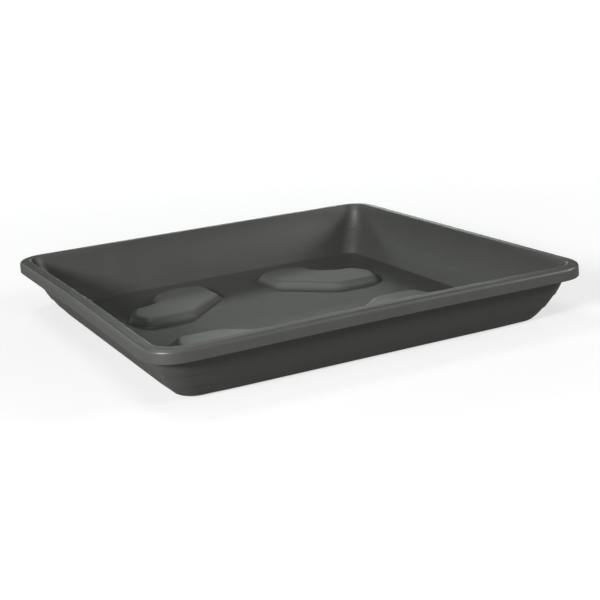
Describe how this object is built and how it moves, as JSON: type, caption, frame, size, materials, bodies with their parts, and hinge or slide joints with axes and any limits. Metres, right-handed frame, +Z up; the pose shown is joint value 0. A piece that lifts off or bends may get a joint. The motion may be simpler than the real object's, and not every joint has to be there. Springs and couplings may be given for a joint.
{
  "type": "square plant saucer",
  "caption": "Square dark grey plastic saucer with a hooked rim, flared walls and raised hollow feet that hold a plant pot above the drained water.",
  "frame": {"origin": "middle of the flat base, on the surface that the saucer stands on", "axes": "+Z up out of the open side; X and Y along the sides of the square"},
  "size_m": [0.4, 0.4, 0.0515],
  "materials": {
    "anthracite_plastic": "moulded satin polypropylene, anthracite grey with a slight green cast"
  },
  "bodies": {
    "root": {"saucer_tray": "anthracite_plastic"}
  },
  "joints": []
}
